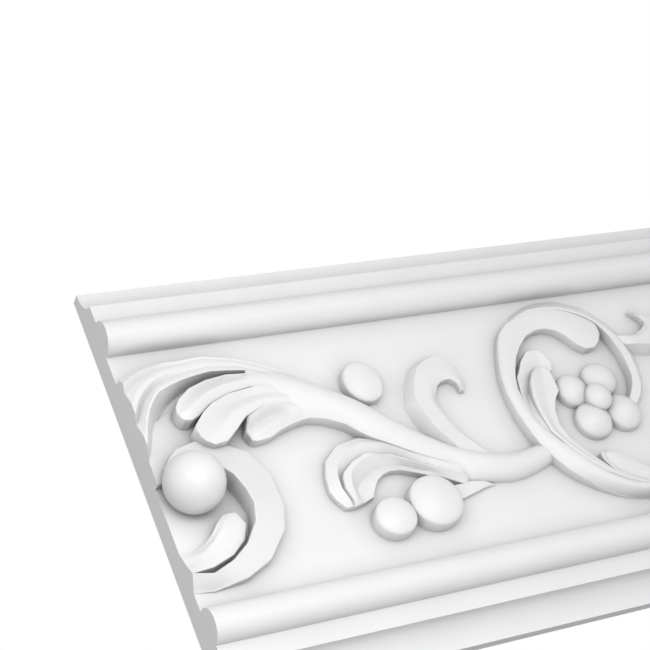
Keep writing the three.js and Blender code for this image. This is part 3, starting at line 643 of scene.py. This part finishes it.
def berries():
    """Three berries, with the two stalks that show. A berry takes x, z, two radii, wall and dome."""
    return [
        berry("single berry", 83.5, 21.1, 7.2, 8.1, 4, 1.7),
        berry("small berry", 73.8, -30, 7.3, 6.9, 4.9, 2),
        berry("large berry", 90.1, -27.3, 9.5, 9.3, 5.1, 2.5),
        leaf("pair stalk", [
            ((116.6, -23.6, 0.7), (116.6, -23.8, 0.8), (116.6, -24.1, 0.6)),
            ((112.7, -22.2, 1.8), (112.6, -23.4, 1.8), (112.2, -24.6, 1.4)),
            ((107.7, -21.5, 2.1), (107.9, -23.4, 2.1), (107.7, -25.8, 1.6)),
            ((102.9, -21.9, 2.1), (102.6, -24.2, 2.1), (101.9, -27.2, 1.6)),
            ((96, -21.9, 2), (96, -24.4, 2), (96, -28, 1.6)),
        ], shape=STRAIGHT),
        leaf("single stalk", [
            ((86.5, 10.4, 0.7), (85.7, 9.9, 0.7)),
            ((86, 12.6, 1), (83.6, 11.4, 1)),
            ((85.2, 15.4, 1), (83, 14.4, 1)),
        ]),
    ]


def curl_and_ball():
    """The curl round the ball at the left end, with the club leaf inside it."""
    curl = leaf("curl", [
        ((-2, -40.5, 0.3), (-2, -35.1, 4.1)),
        ((0.8, -40.4, 0.3), (0.1, -35.3, 4.2)),
        ((6.7, -41.3, 0.8), (6.9, -36.8, 4.6)),
        ((17.5, -40.1, 3.3), (13.9, -34.3, 5.8)),
        ((26.8, -35.8, 4.2), (20, -30, 6.8)),
        ((34.8, -26.9, 4.3), (24.7, -23.7, 7.6)),
        ((37.9, -18.4, 4), (26.3, -17.6, 8)),
        ((37.6, -6.9, 4), (25.2, -12.5, 8.4)),
        ((32.6, 2.4, 4), (22.9, -7.1, 8.7)),
        ((26.7, 5.6, 4.2), (20.3, -4.5, 8.8)),
        ((16.5, 8.8, 4.4), (15, -2.5, 8)),
        ((9.5, 7, 4.4), (9, -2.5, 6.5)),
        ((6.7, 4.7, 4.4), (6, -2.5, 5.5)),
        ((3.4, 1, 4.4), (3.2, -2, 4.6)),
    ], shape=STRAIGHT, steps=6, tip=False)
    club = leaf("club leaf", [
        ((16.7, -18.1, 4.2), (18.7, -18.1, 4.5), (20.8, -18.3, 4.6)),
        ((13.5, -20.7, 3.9), (16.2, -20.8, 4.5), (22.8, -22.9, 4.8)),
        ((11.3, -23.4, 3.1), (13.8, -23.4, 4.4), (20.1, -28.3, 4.8)),
        ((8.5, -25.5, 1.7), (10.9, -26.2, 3.9), (15, -32.4, 4.7)),
        ((4.4, -26.9, 0.7), (6.6, -29, 3.2), (7.4, -35, 4.5)),
        ((0.1, -26.8, 0.3), (1.5, -31.2, 1.8), (0.2, -35.5, 4.1)),
        ((-2, -26.8, 0.3), (-2, -31.4, 1.8), (-2, -35.4, 4.05)),
    ], steps=7)
    return [curl, club, ball("ball", x=10.3, z=-6.7, height=6.5, radius=10.02)]


def left_shelf():
    """The smooth ramp between the top leaf's inner wall and the field."""
    start = -2
    run = 18
    top_start = 13
    top_climb = 12
    low_start = -3.8
    low_climb = 10
    rise = 3.1
    least = 0.05
    steps = 8
    rows = []
    for i in range(steps + 1):
        t = i / steps
        x = start + run * t
        height = least + rise * (1 + math.cos(math.pi * t)) / 2
        rows.append(((x, top_start + top_climb * t, height), (x, low_start + low_climb * t * t, height)))
    return leaf("left shelf", rows, tip=False)


def right_end():
    """Where the next repeat begins."""
    upper = leaf("next upper lobe", folded([
        ((230.5, 32, 3), (230.6, 30, 3)),
        ((233, 34.3, 3.4), (232.5, 27.6, 4.2)),
        ((240, 35.3, 3.6), (240, 26, 5)),
        ((252, 35.6, 3.6), (252, 25, 5.2)),
    ], ((0, 0), (0.3, 1.2), (0.6, -0.4), (1, 0))))
    lower = leaf("next lower lobe", folded([
        ((236, 19.5, 4), (236.3, 17, 4)),
        ((238.5, 22.6, 5), (239, 13.2, 5.2)),
        ((244, 24.6, 5.4), (245, 10.8, 6)),
        ((252, 25.2, 5.4), (252, 9.5, 6)),
    ], ((0, 0), (0.35, 0.5), (0.6, -1.2), (1, 0))))
    shelf = leaf("next shelf", [
        ((240, 8, 0.3), (241, -2, 0.3)),
        ((246, 10, 2.4), (246, -3.6, 2.4)),
        ((252, 11, 3.5), (252, -3.9, 3.2)),
    ])
    club = leaf("next club", folded([
        ((205, -35.8, 3.6), (205, -38, 4.2)),
        ((225, -33.4, 3), (225, -37.4, 4.2)),
        ((240, -29.2, 1.4), (240, -36.6, 4.2)),
        ((252, -26.3, 0.3), (252, -35.2, 4.2)),
    ], ((0, 0), (0.5, 0.6), (1, 0))))
    return [upper, lower, shelf, club]


def run_slot():
    """The block that cuts the ornament square at both ends."""
    depth = 60
    middle = -20
    bpy.ops.mesh.primitive_cube_add(size=1, location=(0, middle * MM, 0))
    block = bpy.context.object
    block.scale = (LENGTH * MM, depth * MM, HEIGHT * MM)
    return settle(block, "slot")


def carved_panel():
    """All the forms joined, cut to length and joined to the board."""
    forms = ([top_leaf()] + lobes() + [main_stem(), folded_leaf()] + hooks() + leaf_ring() + flower()
             + berries() + curl_and_ball() + [left_shelf()] + right_end())
    relief = forms.pop(0)
    for form in forms:
        join(relief, form)
    join(relief, run_slot(), "INTERSECT")
    panel = bordered_board()
    join(panel, relief)
    panel.name = "moulding"
    select_only(panel)
    bpy.ops.object.shade_smooth_by_angle(angle=math.radians(SMOOTH_ANGLE))
    return panel


def noise(nodes, links, place_on, scale, detail):
    """A cloudy texture that keeps its place on the piece."""
    texture = nodes.new("ShaderNodeTexNoise")
    texture.inputs["Scale"].default_value = scale
    texture.inputs["Detail"].default_value = detail
    links.new(place_on.outputs["Object"], texture.inputs["Vector"])
    return texture


def spread(nodes, links, source, low, high, start=0.3, end=0.7):
    """Turn a texture's range from start to end into low to high."""
    ranged = nodes.new("ShaderNodeMapRange")
    ranged.inputs["From Min"].default_value = start
    ranged.inputs["From Max"].default_value = end
    ranged.inputs["To Min"].default_value = low
    ranged.inputs["To Max"].default_value = high
    links.new(source, ranged.inputs["Value"])
    return ranged


def product(nodes, links, first, second):
    """One mask times another."""
    result = nodes.new("ShaderNodeMath")
    result.operation = "MULTIPLY"
    links.new(first, result.inputs[0])
    links.new(second, result.inputs[1])
    return result


def primed_plaster():
    """White primer on a plaster casting: faintly cloudy, brushed thin, with painted shade that darkens
    its colour in the recesses.
    """
    plaster = bpy.data.materials.new("primed plaster")
    plaster.use_nodes = True
    nodes = plaster.node_tree.nodes
    links = plaster.node_tree.links
    shader = nodes["Principled BSDF"]
    place_on = nodes.new("ShaderNodeTexCoord")
    clouds = noise(nodes, links, place_on, scale=45, detail=4)
    tone = spread(nodes, links, clouds.outputs["Fac"], low=PLASTER_TONE * THIN_CLOUD,
                  high=PLASTER_TONE * THICK_CLOUD)
    # Painted shade: ambient occlusion darkens the base colour in the recesses, down to a share of the
    # primer's tone
    recess_shade = nodes.new("ShaderNodeAmbientOcclusion")
    recess_shade.inputs["Distance"].default_value = PAINTED_SHADE_REACH * MM
    recess_shade.samples = 3
    painted_shade = spread(nodes, links, recess_shade.outputs["AO"], low=PAINTED_SHADE_TONE, high=1, start=0.2, end=0.9)
    colour = product(nodes, links, tone.outputs["Result"], painted_shade.outputs["Result"])
    links.new(colour.outputs["Value"], shader.inputs["Base Color"])
    sheen = spread(nodes, links, clouds.outputs["Fac"], low=0.36, high=0.46)
    links.new(sheen.outputs["Result"], shader.inputs["Roughness"])
    grain = noise(nodes, links, place_on, scale=1400, detail=3)
    bump = nodes.new("ShaderNodeBump")
    bump.inputs["Strength"].default_value = 0.12
    bump.inputs["Distance"].default_value = GRAIN_DEPTH * MM
    links.new(grain.outputs["Fac"], bump.inputs["Height"])
    links.new(bump.outputs["Normal"], shader.inputs["Normal"])
    return plaster


def photo_camera():
    """The camera at the photo's place, worked out from the moulding's parallel edges."""
    lens = bpy.data.cameras.new("camera")
    lens.lens = LENS
    lens.sensor_width = SENSOR
    camera = bpy.data.objects.new("camera", lens)
    bpy.context.scene.collection.objects.link(camera)
    spot = Matrix.Translation(Vector(CAMERA_PLACE) * MM)
    sideways = Matrix.Rotation(-math.radians(LOOK_RIGHT), 4, "Z")
    upwards = Matrix.Rotation(math.radians(90 + LOOK_UP), 4, "X")
    tilt = Matrix.Rotation(math.radians(TILT), 4, "Z")
    camera.matrix_world = spot @ sideways @ upwards @ tilt
    bpy.context.scene.camera = camera


def soft_light(name, towards, strength):
    """A wide, distant light that shines from the given direction."""
    lamp = bpy.data.lights.new(name, "SUN")
    lamp.energy = strength
    lamp.angle = math.radians(SUN_SPREAD)
    light = bpy.data.objects.new(name, lamp)
    light.rotation_euler = Vector(towards).to_track_quat("Z", "Y").to_euler()
    bpy.context.scene.collection.objects.link(light)


def near_light(name, spot, power):
    """A round panel close to the left part of the moulding, turned towards it."""
    lamp = bpy.data.lights.new(name, "AREA")
    lamp.shape = "DISK"
    lamp.size = PANEL_SIZE * MM
    lamp.energy = power
    light = bpy.data.objects.new(name, lamp)
    light.location = Vector(spot) * MM
    aim = light.location - Vector(PANEL_AIM) * MM
    light.rotation_euler = aim.to_track_quat("Z", "Y").to_euler()
    bpy.context.scene.collection.objects.link(light)


def pale_floor():
    """A floor far below, a little brighter to the camera than its shade would leave it."""
    bpy.ops.mesh.primitive_plane_add(size=FLOOR_SIZE * MM, location=(0, 0, -FLOOR_DEPTH * MM))
    floor = bpy.context.object
    floor.name = "floor"
    pale = bpy.data.materials.new("pale floor")
    pale.use_nodes = True
    nodes = pale.node_tree.nodes
    links = pale.node_tree.links
    matt = nodes["Principled BSDF"]
    matt.inputs["Base Color"].default_value = (0.8, 0.8, 0.8, 1)
    matt.inputs["Roughness"].default_value = 0.9
    matt.inputs["Emission Color"].default_value = (1, 1, 1, 1)
    lift = nodes.new("ShaderNodeMath")
    lift.operation = "MULTIPLY"
    lift.inputs[1].default_value = FLOOR_LIFT
    straight = nodes.new("ShaderNodeLightPath")
    links.new(straight.outputs["Is Camera Ray"], lift.inputs[0])
    links.new(lift.outputs["Value"], matt.inputs["Emission Strength"])
    floor.data.materials.append(pale)


def white_world():
    """A dim white glow all round, and plain white behind the moulding where the camera looks."""
    world = bpy.data.worlds.new("studio")
    bpy.context.scene.world = world
    world.use_nodes = True
    nodes = world.node_tree.nodes
    links = world.node_tree.links
    glow = nodes["Background"]
    glow.inputs["Color"].default_value = (1, 1, 1, 1)
    glow.inputs["Strength"].default_value = WORLD_GLOW
    backdrop = nodes.new("ShaderNodeBackground")
    backdrop.inputs["Color"].default_value = (1, 1, 1, 1)
    seen = nodes.new("ShaderNodeLightPath")
    choice = nodes.new("ShaderNodeMixShader")
    links.new(seen.outputs["Is Camera Ray"], choice.inputs["Fac"])
    links.new(glow.outputs["Background"], choice.inputs[1])
    links.new(backdrop.outputs["Background"], choice.inputs[2])
    links.new(choice.outputs["Shader"], nodes["World Output"].inputs["Surface"])


def studio():
    """The floor, the world and the lights, and colours shown as they are."""
    pale_floor()
    white_world()
    soft_light("front light", towards=(0, -1, 0), strength=0.86)
    soft_light("right light", towards=(0.85, -0.53, 0), strength=0.27)
    soft_light("left light", towards=(-0.92, -0.39, 0), strength=0.21)
    near_light("left panel", spot=(-300, -300, 0), power=0.27)
    near_light("lower left panel", spot=(-250, -350, -200), power=0.18)
    near_light("low panel", spot=(-50, -350, -300), power=0.16)
    near_light("front panel", spot=(-100, -250, -30), power=0.09)
    bpy.context.scene.view_settings.view_transform = "Standard"


panel = carved_panel()
panel.data.materials.clear()
panel.data.materials.append(primed_plaster())
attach(panel, "root")
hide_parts("panel_moulding")
studio()
photo_camera()
